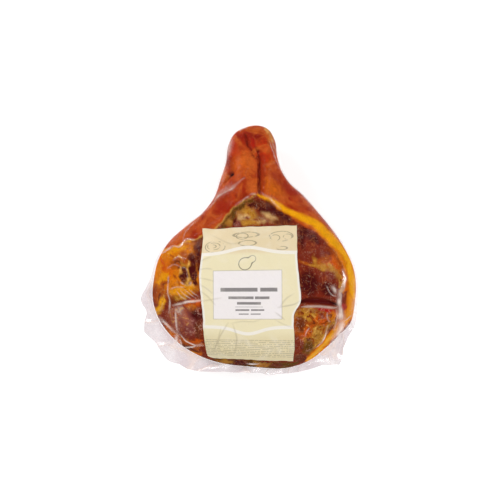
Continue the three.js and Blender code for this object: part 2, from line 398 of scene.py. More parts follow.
# The lean side of the face in painting order: colour, then a stroke or a blob.
FACE_PAINT = [
    # Under the V.
    (LEAN, (16, 52), (84, 46), -8, 0.5),
    (TAN, (-4, 52), (36, 28), -20, 0.5),
    (YELLOW_TAN, (-2, 57), (22, 12), -30, 0.8),
    (YELLOW_TAN, (2, 42), (24, 9), 0, 0.9),
    (CREAM, (-12, 49), (20, 8), 20, 0.8),
    (CREAM, (16, 45), (20, 9), -10, 0.9),
    (CREAM, (30, 51), (26, 8), -30, 0.7),
    (TAN, (34, 42), (20, 6), -16, 0.9),
    (OLIVE_DARK, [(-6, 75), (-20, 64), (-34, 48), (-44, 34)], 11, 0.5),
    (OLIVE_DARK, (0, 73), (26, 13), -14, 0.6),
    (LEAN_BROWN, [(2, 73), (12, 73), (24, 66), (40, 57), (54, 45), (66, 34)], 14, 0.5),
    (LEAN_DARK, [(-4, 69), (10, 67), (22, 62), (36, 57)], 8, 0.8),
    (LEAN_DARK, [(30, 66), (44, 57), (58, 44)], 9, 0.8),
    (OLIVE, (-34, 42), (10, 10), 0, 0.9),
    (LEAN_DARK, (-24, 44), (8, 10), 0, 0.8),
    (PLUM, (-19, 40), (10, 12), 0, 0.8),
    (LEAN, [(-12, 48.5), (10, 48), (28, 44), (40, 40)], 4, 0.8),
    (LEAN_BROWN, (52, 38), (30, 12), -20, 0.35),
    # Right of the label.
    (LEAN_DARK, (82, 20), (20, 34), 0, 0.35),
    (LEAN, (104, 8), (44, 46), 20, 0.35),
    (LEAN_DARK, (97, 18), (22, 14), -30, 0.7),
    (BROWN_ORANGE, (129, -22), (36, 46), 20, 0.7),
    (EMBER, (127, -22), (20, 26), 10, 0.9),
    (YELLOW_TAN, [(120, -20), (130, -34), (138, -46)], 9, 0.9),
    (LEAN, (112, -8), (26, 18), 0, 0.6),
    (BROWN_ORANGE, [(88, -20), (98, -23), (108, -18), (122, -8)], 9, 1.0),
    (LEAN, (104, -50), (66, 50), 0, 0.35),
    (LEAN_DARK, (88, -50), (30, 36), 0, 0.7),
    (LEAN_DARK, (118, -60), (26, 20), 0, 0.7),
    (YELLOW_TAN, (97, -22), (15, 6), -8, 1.0),
    (YELLOW_TAN, (111, -25), (15, 8), -20, 1.0),
    (YELLOW_TAN, (99, -14), (7, 10), 20, 1.0),
    (BROWN_ORANGE, (82, -19), (18, 5), -10, 1.0),
    (FAT_DEEP, [(146, -30), (147, -50), (143, -66)], 10, 0.6),
    (YELLOW_TAN, [(138, -36), (142, -52), (139, -70)], 7, 0.8),
    # Below the cut.
    (BROWN_ORANGE, (104, -112), (84, 50), 10, 0.35),
    (YELLOW_TAN, (86, -98), (30, 18), 0, 0.6),
    (TAN, (98, -94), (26, 7), -6, 0.8),
    (BROWN, (77, -112), (14, 24), 0, 0.6),
    (OLIVE, (101, -137), (30, 46), -28, 0.35),
    (YELLOW_TAN, (107, -141), (12, 28), -32, 0.8),
    (OLIVE_DARK, (91, -148), (15, 22), -30, 0.7),
    (OLIVE, (125, -113), (15, 26), -24, 0.35),
    (BLOOD, (118, -93), (34, 9), -10, 0.6),
    (BROWN, (122, -125), (8, 20), -25, 0.7),
    (EMBER, [(79, -128), (88, -118), (98, -107), (108, -101)], 7, 0.6),
    (EMBER, (112, -108), (11, 13), 0, 0.7),
    (EMBER, (86, -128), (14, 20), -40, 0.9),
    (FAT_PALE, (99, -122), (12, 5), 40, 0.9),
    (FAT_PALE, (112, -134), (5, 14), -30, 0.9),
    (FAT, (130, -100), (18, 12), 10, 0.8),
    (LEAN, (108, -102), (12, 6), -30, 0.8),
    (LEAN_DARK, [(100, -130), (107, -122), (110, -116)], 3.5, 0.6),
    (LEAN_DARK, [(84, -143), (90, -137), (94, -134)], 4, 0.6),
    (LEAN_DARK, [(80, -154), (86, -147)], 4, 0.7),
    (LEAN_BROWN, (76, -165), (20, 16), 20, 0.35),
    # Left of the label.
    (FAT, (-112, -26), (92, 86), 0, 0.35),
    (FAT_DEEP, (-126, -30), (14, 26), 20, 0.9),
    (GOLD, [(-86, 15), (-103, 4), (-116, -1), (-130, -8)], 7, 0.9),
    (BROWN_ORANGE, (-110, -19), (30, 15), 20, 0.8),
    (BROWN_ORANGE, (-99, -8), (16, 16), 0, 0.8),
    (EMBER, [(-142, -12), (-134, -22), (-132, -34)], 4, 1.0),
    (BROWN_ORANGE, [(-126, -6), (-118, -12), (-108, -14)], 3, 1.0),
    (BROWN_ORANGE, [(-118, -36), (-112, -46), (-110, -56)], 3, 1.0),
    (BROWN, [(-120, -24), (-112, -18), (-103, -20)], 3.5, 0.9),
    (BROWN, [(-116, -30), (-110, -26), (-104, -28)], 3, 0.9),
    (FAT_PALE, [(-118, -14), (-110, -10), (-100, -13)], 2.5, 0.9),
    (YELLOW_TAN, [(-97, -10), (-97, -36), (-94, -54)], 16, 0.6),
    (BROWN_ORANGE, (-96, -14), (16, 14), 0, 0.9),
    (BROWN, [(-74, 22), (-77, 5), (-78, -9), (-77, -28)], 13, 0.5),
    (LEAN_DARK, [(-73, 22), (-75, 5), (-76, -9), (-75, -40)], 7, 0.8),
    (LEAN_BROWN, (-87, -12), (12, 20), -5, 0.5),
    (LEAN_DARK, (-86, -34), (14, 27), 0, 0.4),
    (LEAN_DARK, (-88, -16), (7, 14), 0, 0.7),
    (LEAN_BROWN, (-100.5, -38), (12, 23), 5, 0.4),
    (LEAN_DARK, (-101, -38), (7, 17), 5, 0.6),
    (FAT_PALE, [(-93.5, -14), (-94, -26), (-93.5, -41), (-96, -50)], 2.4, 0.9),
    (FAT_PALE, (-107, -30), (3, 9), 10, 0.9),
    (GREY_FAT, (-104, -50), (7, 3), -20, 0.9),
    (GREY_FAT, (-91, -50), (4, 5), 0, 0.9),
    (LEAN_DARK, (-83, -51), (9, 11), 10, 0.5),
    (CREAM, [(-101, -53), (-92, -55), (-82, -58)], 5, 0.8),
    (GOLD, (-103, -62), (42, 15), 4, 0.5),
    (OLIVE, [(-120, -60), (-117, -68), (-106, -72)], 5, 0.9),
    (BROWN, (-113, -78), (22, 9), 8, 0.6),
    (YELLOW_TAN, (-104, -73), (20, 6), 6, 0.8),
    (EMBER, (-87, -81), (28, 9), 12, 0.5),
    (FAT, (-88, -89), (17, 10), -10, 0.6),
    (GOLD, [(-126, -34), (-135, -42), (-146, -52)], 8, 0.8),
    (BROWN_ORANGE, [(-127, -42), (-136, -56), (-147, -74)], 10, 0.5),
    (BROWN, [(-131, -50), (-138, -60), (-145, -70)], 4, 0.8),
    (BROWN_ORANGE, [(-124, -62), (-130, -80), (-132, -92)], 7, 0.6),
    (FAT_YELLOW, [(-133, -68), (-140, -82), (-147, -100)], 14, 0.5),
    (FAT_PALE, [(-132, -66), (-139, -82), (-144, -96)], 7, 0.7),
    # Low at the left.
    (LEAN, (-106, -110), (80, 50), -22, 0.35),
    (LEAN_PINK, (-108, -104), (34, 30), -30, 0.9),
    (GREY_FAT, (-106, -94), (10, 16), 20, 1.0),
    (PLUM, (-92, -110), (30, 40), 0, 0.8),
    (LEAN_PINK, (-97, -104), (8, 22), 20, 1.0),
    (LEAN_DARK, (-80, -97), (16, 18), 0, 0.7),
    (LEAN_BROWN, (-79, -120), (12, 28), 0, 0.8),
    (BROWN_ORANGE, [(-133, -118), (-115, -138), (-94, -146), (-72, -146)], 17, 0.5),
    (FAT_DEEP, [(-130, -120), (-116, -136), (-104, -144)], 7, 0.8),
    (EMBER, [(-104, -134), (-92, -141), (-72, -137)], 6, 0.8),
    (FAT_DEEP, [(-118, -140), (-109, -148), (-92, -158), (-74, -168)], 11, 0.6),
    (FAT_YELLOW, [(-92, -157), (-82, -163), (-72, -168)], 5, 0.8),
    (LEAN_BROWN, (-92, -152), (20, 6), -30, 0.7),
    # Along the foot.
    (OLIVE_DARK, [(-66, -170), (-40, -174), (0, -178), (44, -180), (72, -174)], 15, 0.5),
    (LEAN_BROWN, (-60, -172), (24, 8), -8, 0.6),
    (OLIVE, (-40, -172), (18, 7), -6, 0.6),
    (LEAN_DARK, (-19, -174), (24, 8), -2, 0.6),
    (OLIVE, (18, -177), (30, 7), 0, 0.6),
    (LEAN_BROWN, (44, -178), (20, 7), 0, 0.6),
]
THIN = 8  # strokes thinner than this are broken up
BLOB_EDGE, STROKE_EDGE = 0.7, 0.8  # how much of its softness each keeps, because the noise blurs it too

# The rind in painting order: colour, strength, then a stroke or a blob. The pits go on after the cleft.
RIND_PAINT = [
    (RIND_ORANGE, 0.6, (-8, 126), (28, 48), 0, 0.7),
    (RIND_RED, 0.7, (-22, 152), (16, 40), 8, 0.8),
    (RIND_RED, 0.5, (26, 152), (20, 34), 0, 0.8),
    (RIND_RED, 0.6, (-10, 100), (14, 20), 0, 0.9),
    (RIND_ORANGE, 0.6, (30, 104), (30, 44), 20, 0.8),
    (RIND_ORANGE, 0.6, (4, 94), (14, 22), 0, 0.8),
    (RIND_ORANGE, 0.6, (44, 86), (24, 14), -35, 0.8),
    (RIND_RED, 0.85, (-3, 172), (44, 20), 0, 0.5),
    (RIND_RED, 0.7, (-33, 138), (14, 30), 12, 0.7),
    (RIND_RED, 0.5, (-62, 46), (46, 26), 42, 0.8),
    (RIND_RED, 0.9, (58, 81), (16, 9), -20, 0.6),
    (RIND_RED, 0.8, (79, 78), (7, 5), -20, 0.6),
    (RIND_RED, 0.6, (90, 62), (30, 9), -38, 0.7),
    (RIND_ORANGE, 0.6, (-106, 20), (50, 22), 38, 0.7),
    (SHANK_RED, 0.6, (26, 150), (26, 40), 0, 0.9),
    (SHANK_RED, 0.35, (-20, 150), (22, 60), 8, 0.9),
    (SHANK_DARK, 0.7, (8, 174), (28, 13), -20, 0.9),
    (SHANK_DARK, 0.6, (-13, 174), (13, 15), 0, 0.9),
    (SHANK_DARK, 0.7, (-30, 133), (9, 22), 12, 0.9),
    # Painted highlights: lighter orange on the shank's ridges and along a crease.
    (SHANK_HIGHLIGHT, 0.45, (-14, 132), (22, 26), 0, 1.0),
    (SHANK_HIGHLIGHT, 0.7, (31, 94), (34, 18), -30, 0.9),
    (SHANK_HIGHLIGHT, 0.6, [(19, 127), (28, 130), (38, 135)], 5, 0.9),
    (BLOOD, 0.8, (4, 160), (9, 18), 12, 0.6),
    (END_TAN, 0.85, [(-14, 187), (4, 188), (22, 184), (33, 174), (37, 160), (39, 148)], 12, 0.35),
    (END_PALE, 0.8, [(24, 186), (34, 176), (39, 162)], 7, 0.7),
    # Painted shade along the fold.
    (GROOVE_SHADE, 0.85, FOLD, 3, 0.8),
]
# Painted shade in the pits and along a dent, and a small dark spot.
RIND_PITS = [
    (GROOVE_SHADE, 1.0, (10.5, 151), (5, 6), 0, 0.6),
    (PIT_SHADE, 1.0, (-29.5, 115), (8, 6), 30, 0.6),
    (GROOVE_SHADE, 0.8, [(-31, 113), (-35, 108), (-39, 104)], 3, 0.8),
    (GROOVE_SHADE, 1.0, (-75, 47), (3, 2.5), 0, 0.6),
]


def rind_colour(x, y):
    """Mottled red-orange rind with the cut shank end, a few red spots, painted highlights on the shank, and
    painted shade in its folds, cleft and pits.
    """
    mottle = fractal(x, y, 26, 41)
    base = blend(plain(x, RIND), RIND_ORANGE, smooth(0.1, 1.0, mottle) * 0.8)
    base = blend(base, RIND_RED, smooth(0.05, 0.9, -mottle) * 0.75)
    fine = fractal(x + 0.4 * y, y - 0.2 * x, 8, 47)
    base = blend(base, RIND_BROWN, smooth(0.35, 1.1, fine) * 0.45)
    for colour, strength, *shape in RIND_PAINT:
        base = blend(base, colour, strength * cover(x, y, shape))
    shade = smooth(80, 88, y) * (1 - smooth(148, 156, y))
    across = x - CLEFT_X
    cut = np.where(across < 0, smooth(-0.8, 0.3, across), 1 - smooth(1, 5, across))
    # Painted shade: dark in the cleft, and dark red to its right where the left flap overhangs it.
    base = blend(base, GROOVE_SHADE, shade * cut)
    base = blend(base, RIND_RED, shade * 0.7 * np.exp(-((across - 5) / 5) ** 2))
    for colour, strength, *shape in RIND_PITS:
        base = blend(base, colour, strength * cover(x, y, shape))
    return base


def band_colour(x, y, depth):
    """The fat band at that depth: brown at its edge, yellow in its middle, more orange towards the foot."""
    yellow = blend(plain(x, BROWN_ORANGE), FAT_DEEP, smooth(0.0, 0.25, depth))
    yellow = blend(yellow, FAT_YELLOW, smooth(0.15, 0.75, depth))
    orange = smooth(0.1, 0.9, noise(x, y, 19, 81)) * 0.5 + smooth(15, -20, y) * smooth(-130, -90, y) * 0.6
    yellow = blend(yellow, FAT, np.clip(orange, 0, 1))
    yellow = blend(yellow, FAT_DEEP, smooth(-70, -130, y) * smooth(0.0, 0.8, noise(x, y, 14, 83)) * 0.3)
    return blend(yellow, FAT_PALE, smooth(-110, -140, y) * smooth(0.5, 0.95, depth) * 0.4)


def face_colour(x, y):
    """Linear colour of the face, how much of each point is lean and how much rind, and how marbled it is."""
    wx = x + 2.8 * fractal(x, y, 13, 61) + 1.5 * noise(x, y, 4.2, 66)
    wy = y + 2.8 * fractal(x, y, 13, 71) + 1.5 * noise(x, y, 4.2, 76)
    broken = smooth(-0.55, 0.15, noise(x, y, 5.5, 79))
    flesh = plain(x, LEAN)
    lean = np.ones(x.shape)
    dark = meat(LEAN)[1] + 0.05
    for colour, *shape, soft in FACE_PAINT:
        if isinstance(shape[0], list):
            weight = stroke(wx, wy, *shape, STROKE_EDGE * soft) * (broken if shape[1] < THIN else 1.0)
        else:
            weight = blob(wx, wy, *shape, BLOB_EDGE * soft)
        flesh = blend(flesh, colour, weight)
        lean = lean * (1 - weight) + weight * (meat(colour)[1] < dark)
    bx, by = x + 0.4 * (wx - x), y + 0.4 * (wy - y)
    depth = fat_band(bx, by)
    band = smooth(0.0, 0.3, depth)
    flesh = flesh * (1 - band[..., None]) + band_colour(x, y, depth) * band[..., None]
    cut = split_shape(x, y)
    # Painted shade in the deep split of the lean.
    flesh = blend(flesh, GROOVE_SHADE, cut)
    lean = lean * (1 - band) * (1 - cut)
    lip = stroke(x, y, [(77, -86), (94, -85.5), (110, -86), (127, -88), (135, -87)], 3.4, 0.7)
    flesh = blend(flesh, GREY_FAT, lip * 0.9)
    flesh = blend(flesh, BLOOD, blob(x, y, (144.5, -87), (9, 10), 0, 0.3))
    side = rind_side(x + 0.6 * (wx - x), y + 0.6 * (wy - y))
    on_rind = smooth(-0.8, 0.8, side)
    flesh = blend(flesh, FAT_PALE, 0.7 * np.exp(-((side + 0.5) / 1.4) ** 2) * (x < 10))
    outer = fat_band(bx, by, 1.35)
    band_on_rind = smooth(0.0, 0.6, outer) * smooth(6, 16, x)
    rind = blend(rind_colour(wx, wy), FAT_DEEP, band_on_rind)
    rind = blend(rind, FAT_YELLOW, smooth(0.25, 0.8, outer) * smooth(6, 16, x))
    colour = flesh * (1 - on_rind[..., None]) + rind * on_rind[..., None]
    marbled = np.full(x.shape, 0.4)
    for amount, *area in ((0.6, (104, -118), (96, 84), 0, 0.4), (0.6, (-98, -108), (70, 56), 0, 0.4),
                          (-0.35, (-130, -15), (60, 70), 0, 0.6)):
        marbled = marbled + amount * blob(x, y, *area)
    marbled = marbled * (1 - 0.85 * band) * (1 - cut) * (1 - lip)
    return colour, lean * (1 - on_rind), on_rind * (1 - band_on_rind), marbled


# ---------------------------------------------------------------- meshes

# From the plan to the frame, so that the ham's far corner is where the CAD has it.
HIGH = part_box("ham")[1]
TO_FRAME = np.array([
    HIGH.x / MM - RIM[:, 0].max(),
    HIGH.y / MM - RIM[:, 1].max(),
    0.0,
])


def make_mesh(name, points, faces, attributes=(), colours=()):
    """A smooth-shaded object from points in millimetres, with float and colour attributes on its points."""
    mesh = bpy.data.meshes.new(name)
    mesh.from_pydata(((np.asarray(points) + TO_FRAME) * MM).tolist(), [], faces)
    for key, values in attributes:
        layer = mesh.attributes.new(key, "FLOAT", "POINT")
        layer.data.foreach_set("value", np.asarray(values, np.float32).ravel())
    for key, values in colours:
        layer = mesh.attributes.new(key, "FLOAT_COLOR", "POINT")
        full = np.ones((len(points), 4), np.float32)
        full[:, :3] = np.asarray(values).reshape(-1, 3)
        layer.data.foreach_set("color", full.ravel())
    mesh.shade_smooth()
    obj = bpy.data.objects.new(name, mesh)
    bpy.context.scene.collection.objects.link(obj)
    return obj


def grid_faces(rows, columns, start=0, flip=False):
    index = start + np.arange(rows * columns).reshape(rows, columns)
    quads = np.stack([index[:-1, :-1], index[1:, :-1], index[1:, 1:], index[:-1, 1:]], -1).reshape(-1, 4)
    return quads[:, ::-1] if flip else quads


def grid_rim(rows, columns):
    """Indices of the grid's outer points, in order round it."""
    index = np.arange(rows * columns).reshape(rows, columns)
    return np.concatenate([index[:-1, 0], index[-1, :-1], index[:0:-1, -1], index[0, :0:-1]])


def face_base(share, x, y):
    """Points of the smooth face, and the direction straight out of it."""
    base = np.stack([x, y, face_height(share)], -1)
    return base, grid_normals(base)


def skin_rings(edge, shares):
    """Rings of the skin side, from the edge of the face in to its middle, with bumps on the low sides."""
    rings = []
    for k in shares:
        px, py = toward_rim(k, edge[:, 0], edge[:, 1])
        bumps = 0.8 * noise(px, py, 24, 91) * smooth(0.58, 0.7, k) * (1 - smooth(0.98, 1.0, k))
        rings.append(np.stack([px, py, skin_height(np.full(px.shape, k)) + np.maximum(bumps, 0)], -1))
    return rings


def ham_mesh():
    ring, turn = square_rings(HAM_RINGS)
    share = np.sin(ring * np.pi / 2)
    x, y = toward_rim(share, *rim_at(turn)[:2])
    base, outward = face_base(share, x, y)
    face = base + outward * (relief(x, y) * (1 - smooth(RELIEF_FADE, 1.0, share)))[..., None]
    # Down the steep sides the colours of the face wander along the rim.
    wander = 7.0 * smooth(0.9, 1.0, share) * fractal(PERIMETER * turn, base[..., 2], 20, 85)
    out_x, out_y = rim_outward(turn)
    colour, lean, rind, marbled = face_colour(x - out_y * wander, y + out_x * wander)
    size = 2 * HAM_RINGS + 1
    rim = grid_rim(size, size)
    count = len(rim)
    flat = face.reshape(-1, 3)
    skin_share = np.cos(np.linspace(0, np.pi / 2, SKIN_RINGS + 1)[1:-1])
    rings = skin_rings(flat[rim], skin_share)
    points = np.vstack([flat, *rings, [[MIDDLE[0], MIDDLE[1], SKIN_FLOOR]]])
    loops = [rim] + [len(flat) + k * count + np.arange(count) for k in range(len(rings))]
    quads = [grid_faces(size, size)]
    for outer, inner in zip(loops, loops[1:]):
        quads.append(np.stack([outer, np.roll(outer, -1), np.roll(inner, -1), inner], -1))
    last = loops[-1].tolist()
    fan = [[last[k], last[(k + 1) % count], len(points) - 1] for k in range(count)]
    # Under the rim the colours of the face's edge fade into the skin's.
    px, py = points[len(flat):, 0], points[len(flat):, 1]
    skin = blend(plain(px, RIND), SKIN_TAN, smooth(-0.5, 0.8, fractal(px, py, 30, 101)) * 0.5)
    upper = np.append(smooth(0.90, 0.985, np.repeat(skin_share, count)), 0.0)
    edge_colour = np.vstack([np.tile(colour.reshape(-1, 3)[rim], (len(rings), 1)), skin[-1:]])
    skin = skin * (1 - upper[:, None]) + edge_colour * upper[:, None]
    edge_rind = np.append(np.tile(rind.ravel()[rim], len(rings)), 1.0)
    floats = [
        ("lean", np.concatenate([lean.ravel(), np.zeros(len(px))])),
        ("rind", np.concatenate([rind.ravel(), 1 - upper * (1 - edge_rind)])),
        ("marbled", np.concatenate([marbled.ravel(), np.full(len(px), 0.4)])),
    ]
    colours = [("meat_colour", np.vstack([colour.reshape(-1, 3), skin]))]
    return make_mesh("cured_ham", points, np.vstack(quads).tolist() + fan, floats, colours)


# ---------------------------------------------------------------- the label

LABEL_COLUMNS = 150
LABEL_ROWS = 212
LABEL_PAPER = 0.25
LABEL_GAP = 0.3  # at least this far off the meat
LABEL_SIZE = (148.0, 210.0)
LABEL_LEAN = 0.004  # how far the print leans to the right for each millimetre down
LABEL_LEFT = [(-71.3, 31.8), (-72, 10), (-75, -20), (-77, -42), (-75, -70), (-72, -95), (-71, -122),
              (-68, -150), (-65, -167)]
LABEL_RIGHT = [(71.3, 38), (71.5, 10), (71.5, -12), (74, -40), (76.7, -76), (68, -94), (66, -110),
               (68, -140), (66.5, -171)]
# Creases of the paper: height, width and path.
LABEL_CREASES = [
    (0.9, 4, [(-33, -110), (-46, -132), (-57, -159)]),
    (0.7, 3, [(-44, -118), (-47, -131), (-49, -144)]),
    (0.8, 4, [(-26, -112), (-20, -135), (-24, -160)]),
    (-0.9, 4, [(76, -77), (67, -82), (58, -84), (41, -87)]),
    (0.8, 3, [(38, -94), (46, -100), (53, -106)]),
    (0.7, 3, [(66, -66), (54, -74), (44, -88)]),
    (0.6, 3, [(-76, -18), (-68, -13), (-58, -10)]),
    (-0.6, 3, [(-77, -30), (-67, -28), (-56, -29)]),
    (0.6, 3, [(-77, -42), (-66, -44), (-54, -47)]),
    (-0.6, 3, [(-76, -52), (-66, -58), (-56, -66)]),
    (0.7, 3, [(-75, -62), (-62, -72), (-52, -84)]),
    (0.6, 4, [(-75, -78), (-60, -75), (-42, -72)]),
    (0.5, 4, [(66, -118), (50, -112), (36, -104)]),
    (0.5, 5, [(-60, 24), (-30, 10), (-8, 14)]),
    (-0.5, 5, [(60, -140), (30, -150), (4, -146)]),
    (0.6, 3, [(18, -104), (6, -108), (-12, -108), (-30, -111)]),
]


def label_plan():
    """The label's plan points on a grid, their place on the flat sheet, and how far in from its sides."""
    v, u = np.meshgrid(np.linspace(0, 1, LABEL_ROWS), np.linspace(0, 1, LABEL_COLUMNS), indexing="ij")

    def side(points):
        path = curve_through(points, 12)
        at = np.concatenate([[0], np.cumsum(np.hypot(*np.diff(path, axis=0).T))])
        return [np.interp(v, at / at[-1], path[:, k]) for k in range(2)]

    (lx, ly), (rx, ry) = side(LABEL_LEFT), side(LABEL_RIGHT)
    x = lx + u * (rx - lx) + 0.5 * noise(v * LABEL_SIZE[1], u * 3, 9, 111) * (2 * u - 1) ** 4
    y = ly + u * (ry - ly) + 0.7 * noise(u * LABEL_SIZE[0], v * 3, 14, 113) * (2 * v - 1) ** 6
    along_y = (LABEL_LEFT[0][1] + LABEL_RIGHT[0][1]) / 2 - y
    across = LABEL_SIZE[0] / 2 + x - LABEL_LEAN * along_y
    edge = np.minimum(u, 1 - u) * (rx - lx)
    return x, y, across, v * LABEL_SIZE[1], edge


def settle(height, floor, rounds, pull=0.0):
    """A thin sheet drawn tight over what lies under it: it stays above floor and spans the hollows."""
    for _ in range(rounds):
        mean = height.copy()
        mean[1:-1, 1:-1] = (height[:-2, 1:-1] + height[2:, 1:-1] + height[1:-1, :-2] + height[1:-1, 2:]) / 4
        height = np.maximum(mean - pull, floor)
    return height


def label_creases(x, y):
    """Height of the paper's creases, and how much painted shade lies along them, from 0 to 1, by how sharply
    it is folded there.
    """
    h, crease_shade = np.zeros(x.shape), np.zeros(x.shape)
    for size, width, points in LABEL_CREASES:
        gap, along = distance_to(x, y, points)
        length = np.sin(np.pi * np.clip(along, 0.03, 1)) ** 0.5
        h += 1.3 * size * np.exp(-(gap / (0.4 * width)) ** 2) * length
        crease_shade = np.maximum(crease_shade, abs(size) * np.exp(-(gap / 1.1) ** 2) * length)
    return h, crease_shade


def label_height(x, y):
    """Height of the label above the smooth body: creases over a sheet that spans the hollows of the face."""
    return label_creases(x, y)[0] - 2.4 + 0.5 * fractal(x, y, 34, 121) + 0.16 * fractal(x, y, 9, 125)


def label_mesh():
    x, y, across, down, edge = label_plan()
    floor = np.maximum(label_height(x, y), relief(x, y) + LABEL_GAP)
    height = settle(floor, floor, 12)
    base, outward = face_base(np.minimum(share_of(x, y), 0.999), x, y)
    upper = base + outward * (height + LABEL_PAPER)[..., None]
    lower = base + outward * height[..., None]
    count = LABEL_ROWS * LABEL_COLUMNS
    top = grid_faces(LABEL_ROWS, LABEL_COLUMNS)
    bottom = grid_faces(LABEL_ROWS, LABEL_COLUMNS, count, flip=True)
    rim = grid_rim(LABEL_ROWS, LABEL_COLUMNS)
    sides = np.stack([rim, rim + count, np.roll(rim, -1) + count, np.roll(rim, -1)], -1)
    points = np.vstack([upper.reshape(-1, 3), lower.reshape(-1, 3)])
    fields = {"across": across, "down": down, "edge": edge, "crease_shade": label_creases(x, y)[1]}
    return make_mesh("paper_label", points, np.vstack([top, bottom, sides[:, ::-1]]).tolist(),
                     [(key, np.tile(values.ravel(), 2)) for key, values in fields.items()])


# ---------------------------------------------------------------- the film

FILM_RINGS = FILM_DOME_RINGS + FILM_SEAM_RINGS
BACK_RINGS = 60
BACK_COLUMNS = 720
FILM_OFF_MEAT = 0.5
FILM_OFF_LABEL = 0.6
SEAM_OFF_RIM = 0.7
SHEET_LIFT = 0.3  # how far each sheet's surplus stands off the seam's plane
FILM_FLOOR = 0.05
PLEAT_LENGTH = 17
CLEAR_HAZE = 0.004
RIM_HAZE = 0.24
MOST_HAZE = 0.95

# Creases of the front film: height in mm, width in mm, how milky, and the path. The milk is partly the film's
# whitening and partly a painted highlight along the crease.
CREASES = [
    (1.2, 2.6, 0.55, [(-141, -7), (-127, 0), (-118, 5.5), (-107, 6), (-103, 11), (-97, 16), (-85, 16)]),
    (0.9, 2.0, 0.4, [(-103, 10), (-99, 24), (-90, 36), (-78, 46)]),
    (0.8, 2.2, 0.45, [(-82, 48), (-64, 62), (-48, 78), (-28, 94), (-8, 109)]),
    (0.8, 3.0, 0.5, [(-56, 73), (-42, 84), (-27, 92), (-14, 104)]),
    (1.4, 2.4, 0.65, [(-125, -41), (-126, -63), (-123, -80), (-124.5, -97)]),
    (1.6, 2.4, 0.75, [(-114, -88), (-113.5, -110), (-111, -130)]),
    (1.6, 3.2, 0.85, [(-118, -85), (-108, -82), (-97, -79), (-84, -77.5), (-66, -76)]),
    (1.0, 5.0, 0.5, [(-141, -104), (-129, -114), (-119, -124), (-111, -129)]),
    (1.2, 2.2, 0.7, [(-109, -128), (-98, -140), (-86, -146), (-71, -146)]),
    (1.0, 2.2, 0.65, [(-109, -134), (-104, -148), (-90, -150), (-74, -143)]),
    (1.4, 8.0, 0.75, [(-111, -129), (-114, -139), (-118, -149), (-126, -156)]),
    (1.0, 2.4, 0.6, [(-119, -143), (-132, -144), (-138, -152), (-129, -160), (-117, -156)]),
    (1.0, 5.0, 0.45, [(-164, -112), (-151, -112.5), (-138, -114)]),
    (1.0, 3.0, 0.4, [(-160, -124), (-152, -130), (-144, -143), (-139, -152)]),
    (1.0, 6.0, 0.8, [(-110, -151), (-106, -155), (-101, -157)]),
    (1.0, 2.4, 0.5, [(-104, -154), (-90, -161), (-74, -170)]),
    (1.0, 4.0, 0.6, [(-158, -76), (-156, -88), (-152, -100)]),
    (1.0, 2.2, 0.5, [(-110, -140), (-112, -150), (-108, -158)]),
    (0.6, 1.6, 0.45, [(-106, -61), (-98, -69), (-90, -74)]),
    (0.6, 1.6, 0.45, [(-99, -60), (-90, -68), (-82, -73)]),
    (0.6, 1.6, 0.4, [(-92, -60), (-85, -66), (-78, -70)]),
    (0.6, 1.6, 0.4, [(-112, -63), (-106, -70), (-98, -76)]),
    (0.7, 1.8, 0.4, [(-122, -60), (-112, -56), (-100, -56)]),
    (0.7, 1.8, 0.35, [(-118, -16), (-110, -10), (-100, -14)]),
    (0.7, 1.8, 0.3, [(-128, -28), (-116, -22), (-106, -26)]),
    (0.6, 1.6, 0.3, [(-107, -29), (-101, -27), (-96, -31), (-95, -45)]),
    (1.2, 5, 0.45, [(143, -30), (145, -46), (140, -62), (137, -76)]),
    (1.0, 8, 0.8, [(138, -62), (136.5, -80), (138, -98), (136, -114)]),
    (1.2, 2.4, 0.8, [(140, -64), (139, -82), (141, -100), (140, -114)]),
    (1.6, 13, 0.72, [(137, -88), (139, -112), (136, -134), (131, -152), (134, -176)]),
    (1.2, 8, 0.5, [(134, -124), (125, -147), (112, -164)]),
    (1.0, 6.0, 0.8, [(108, -160), (115, -161), (121, -157)]),
    (1.0, 2.4, 0.6, [(150, -112), (146, -132), (139, -152), (136, -172)]),
    (1.0, 4.0, 0.5, [(122, -152), (128, -162), (133, -176)]),
    (1.6, 2.4, 0.85, [(142, -30), (145.5, -46), (143, -62)]),
    (1.4, 2.0, 0.7, [(139, -96), (140, -112), (136, -132), (130, -152)]),
    (1.2, 2.0, 0.6, [(131, -88), (133, -104), (128, -122)]),
    (0.4, 1.8, 0.5, [(117, -55), (121, -63), (127, -69), (135, -71)]),
    (0.3, 6.0, 0.5, [(126, -56), (129, -60), (131, -65)]),
    (0.8, 1.8, 0.5, [(158, -98), (150, -104), (142, -108)]),
    (0.8, 1.8, 0.5, [(160, -110), (150, -116), (142, -116)]),
    (0.9, 2.0, 0.5, [(118, -95), (118, -104), (122, -110)]),
    (0.8, 2.0, 0.55, [(84, -132), (86, -124), (90, -119)]),
    (0.8, 2.2, 0.55, [(100, -150), (110, -141), (116, -128), (119, -116)]),
    (0.5, 1.6, 0.3, [(-14, 47), (4, 50), (20, 47), (34, 42)]),
    (0.6, 2.2, 0.35, [(14, 87), (26, 80), (36, 71), (47, 62)]),
    (0.7, 2.0, 0.4, [(11, 86), (3, 84), (-8, 77), (-22, 67)]),
    (0.8, 2.4, 0.3, [(33, 168), (38, 150), (44, 132), (52, 116), (66, 98), (84, 80), (104, 58)]),
    (0.7, 2.2, 0.3, [(30, 164), (34, 148), (40, 130), (50, 112)]),
    (0.6, 1.8, 0.1, [(20, 129), (30, 130), (38, 134)]),
    (0.7, 2.0, 0.35, [(-29, 170), (-34, 152), (-37, 130), (-42, 108)]),
    (0.8, 2.0, 0.6, [(-16, 182), (-12, 185), (-4, 189)]),
    (0.8, 2.2, 0.7, [(-6, -175.5), (4, -176), (14, -175.5)]),
]
